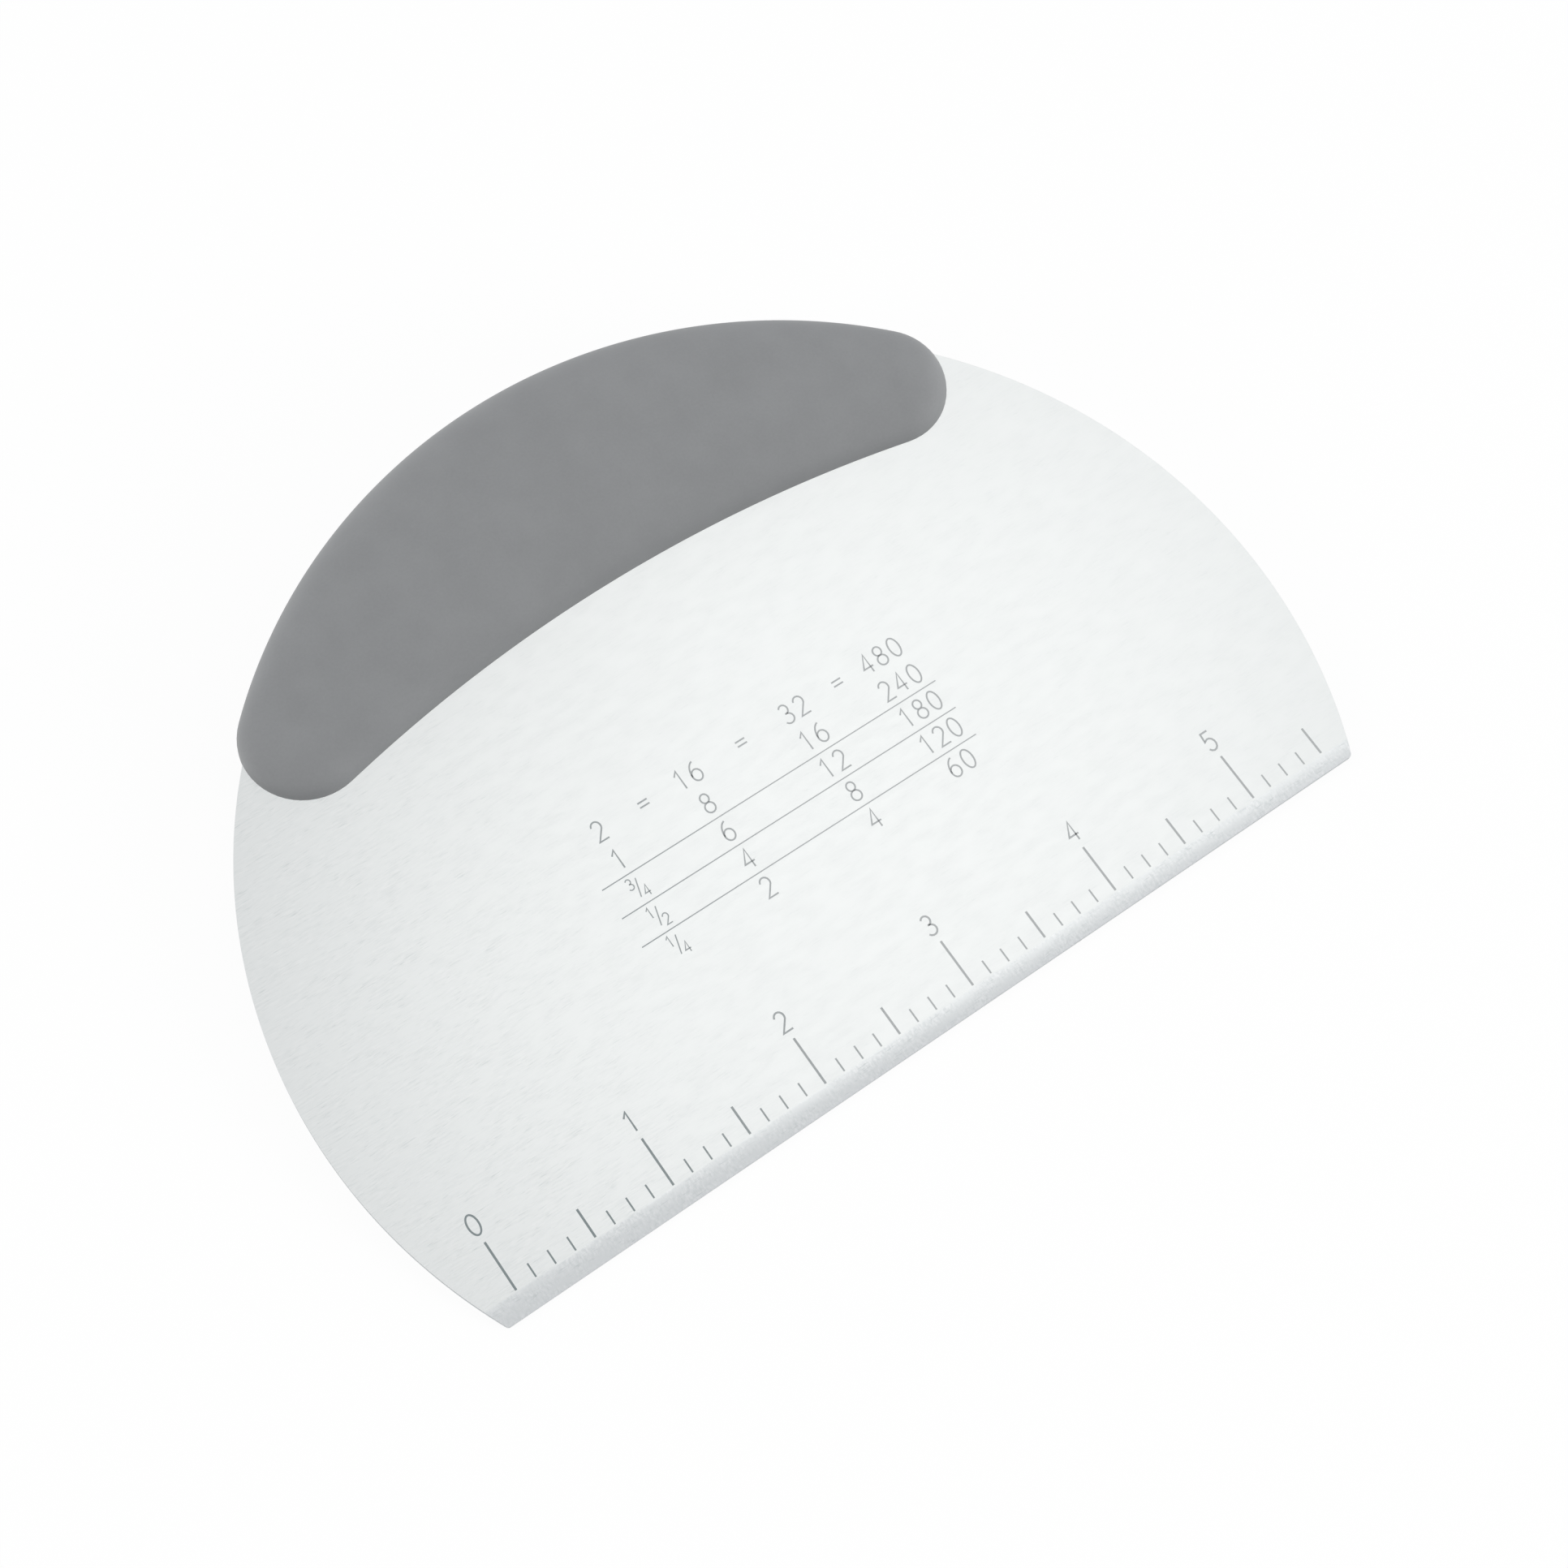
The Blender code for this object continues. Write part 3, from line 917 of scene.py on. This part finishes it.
def seen_directly(tree):
    """1 where the camera or a reflection sees the surface, and 0 where it lights other surfaces."""
    path = node(tree, "LightPath")
    return node(
        tree,
        "Math",
        {0: path.outputs["Is Camera Ray"], 1: path.outputs["Is Glossy Ray"]},
        operation="MAXIMUM",
    ).outputs["Value"]


def make_floor():
    """A plain white board. It shows nearly white by itself, and the lamps leave a faint shadow on it."""
    shape = bmesh.new()
    bmesh.ops.create_grid(shape, x_segments=1, y_segments=1, size=FLOOR_HALF)
    floor = mesh_object("floor", shape, Matrix.Identity(4))
    made, tree, shader = material("white_board")
    shader.inputs["Base Color"].default_value = linear("FAFAFA")
    shader.inputs["Roughness"].default_value = 1.0
    shader.inputs["Specular IOR Level"].default_value = 0.0
    share = node(tree, "Math", {0: seen_directly(tree), 1: BOARD_GLOW}, operation="MULTIPLY")
    white = node(tree, "Emission", {"Color": (1.0, 1.0, 1.0, 1.0), "Strength": 1.0})
    both = node(
        tree,
        "MixShader",
        {0: share.outputs["Value"], 1: shader.outputs["BSDF"], 2: white.outputs["Emission"]},
    )
    tree.links.new(both.outputs["Shader"], tree.nodes["Material Output"].inputs["Surface"])
    floor.data.materials.append(made)


def make_tent():
    """White walls all round under a dimmer ceiling. The tent is open and dark at the front left.

    A low wall hides the foot of the opening from the camera and from the steel, but gives no light. In
    the steel's own reflections the walls dim towards the floor, so that the blade doesn't fade into it.
    """
    world = bpy.data.worlds.new("white_tent")
    bpy.context.scene.world = world
    world.use_nodes = True
    tree = world.node_tree
    ray = node(tree, "TexCoord").outputs["Generated"]
    height = node(tree, "SeparateXYZ", {"Vector": ray}).outputs["Z"]
    level = node(
        tree,
        "MapRange",
        {
            "Value": height,
            "From Min": WALL_TOP,
            "From Max": CEILING_EDGE,
            "To Min": WALL_LEVEL,
            "To Max": CEILING_LEVEL,
        },
        interpolation_type="SMOOTHSTEP",
    )
    ahead = node(tree, "VectorMath", {0: ray, 1: OPEN_TOWARDS}, operation="DOT_PRODUCT")
    opening = node(
        tree,
        "MapRange",
        {"Value": ahead.outputs["Value"], "From Min": OPEN_EDGE, "From Max": 1.0},
        interpolation_type="SMOOTHSTEP",
    )
    above = node(
        tree,
        "MapRange",
        {"Value": height, "From Min": LOW_WALL, "From Max": LOW_WALL + LOW_WALL_BLEND},
        interpolation_type="SMOOTHSTEP",
    )
    unseen = node(tree, "Math", {0: 1.0, 1: seen_directly(tree)}, operation="SUBTRACT")
    allowed = node(
        tree, "Math", {0: above.outputs["Result"], 1: unseen.outputs["Value"]}, operation="MAXIMUM"
    )
    share = node(
        tree, "Math", {0: opening.outputs["Result"], 1: allowed.outputs["Value"]}, operation="MULTIPLY"
    )
    dark = node(
        tree, "MapRange", {"Value": share.outputs["Value"], "To Min": 1.0, "To Max": OPEN_SHARE}
    )
    dimmed = node(
        tree, "Math", {0: level.outputs["Result"], 1: dark.outputs["Result"]}, operation="MULTIPLY"
    )
    foot = node(
        tree,
        "MapRange",
        {"Value": height, "From Max": STEEL_SEES_TO, "To Min": STEEL_SEES_LEVEL, "To Max": 1.0},
    )
    glossy = node(tree, "LightPath").outputs["Is Glossy Ray"]
    reflected = node(tree, "Mix", {0: glossy, 2: 1.0, 3: foot.outputs["Result"]})
    shown = node(
        tree, "Math", {0: dimmed.outputs["Value"], 1: reflected.outputs[0]}, operation="MULTIPLY"
    )
    background = tree.nodes["Background"]
    background.inputs["Color"].default_value = linear("FCFEFF")
    tree.links.new(shown.outputs["Value"], background.inputs["Strength"])


def make_softbox(name, towards, level, size, in_gloss):
    """A round soft lamp in a direction from the blade. Its level is how bright it looks: 1 is white.

    A lamp that isn't in the gloss lights the rubber and the floor, but leaves no patch on the steel.
    """
    lamp = bpy.data.lights.new(name, "AREA")
    lamp.shape = "DISK"
    lamp.size = size
    area = math.pi * size**2 / 4
    lamp.energy = level * math.pi * area
    lamp.color = linear(LAMP_COLOUR)[:3]
    softbox = bpy.data.objects.new(name, lamp)
    bpy.context.scene.collection.objects.link(softbox)
    out = PLANE.to_3x3() @ Vector(towards).normalized()
    turned = out.to_track_quat("Z", "Y").to_matrix().to_4x4()
    softbox.matrix_world = Matrix.Translation(out * SOFTBOX_AWAY) @ turned
    softbox.visible_glossy = in_gloss


def make_camera():
    lens = bpy.data.cameras.new("camera")
    lens.sensor_width = SENSOR
    lens.lens = FOCAL_LENGTH
    camera = bpy.data.objects.new("camera", lens)
    bpy.context.scene.collection.objects.link(camera)
    away = (CAMERA_PLACE - CAMERA_AIM).normalized()
    look = away.to_track_quat("Z", "Y").to_matrix().to_4x4()
    turned = Matrix.Translation(CAMERA_PLACE) @ look @ Matrix.Rotation(CAMERA_ROLL, 4, "Z")
    camera.matrix_world = FRONT_FACE @ turned
    bpy.context.scene.camera = camera


def main():
    etch = etched_steel()
    plastic = moulded_plastic()
    make_blade(brushed_steel(), ground_steel(), sheared_steel())
    for name in ("front_core", "rear_core"):
        frame["nodes"][name].material_slots[0].material = plastic
    make_grip(soft_rubber())
    etched("ruler_marks", ruler_lines(), etch)
    etched("ruler_numbers", ruler_numbers(), etch)
    etched("table_rules", table_lines(), etch)
    etched("table_numbers", table_numbers(), etch)
    make_floor()
    make_tent()
    make_softbox("overhead_softbox", SOFTBOX_TOWARDS, SOFTBOX_LEVEL, SOFTBOX_SIZE, in_gloss=True)
    make_softbox("fill_softbox", FILL_TOWARDS, FILL_LEVEL, FILL_SIZE, in_gloss=False)
    make_softbox("side_softbox", SIDE_TOWARDS, SIDE_LEVEL, SIDE_SIZE, in_gloss=False)
    make_camera()
    bpy.context.scene.view_settings.view_transform = "Standard"


main()
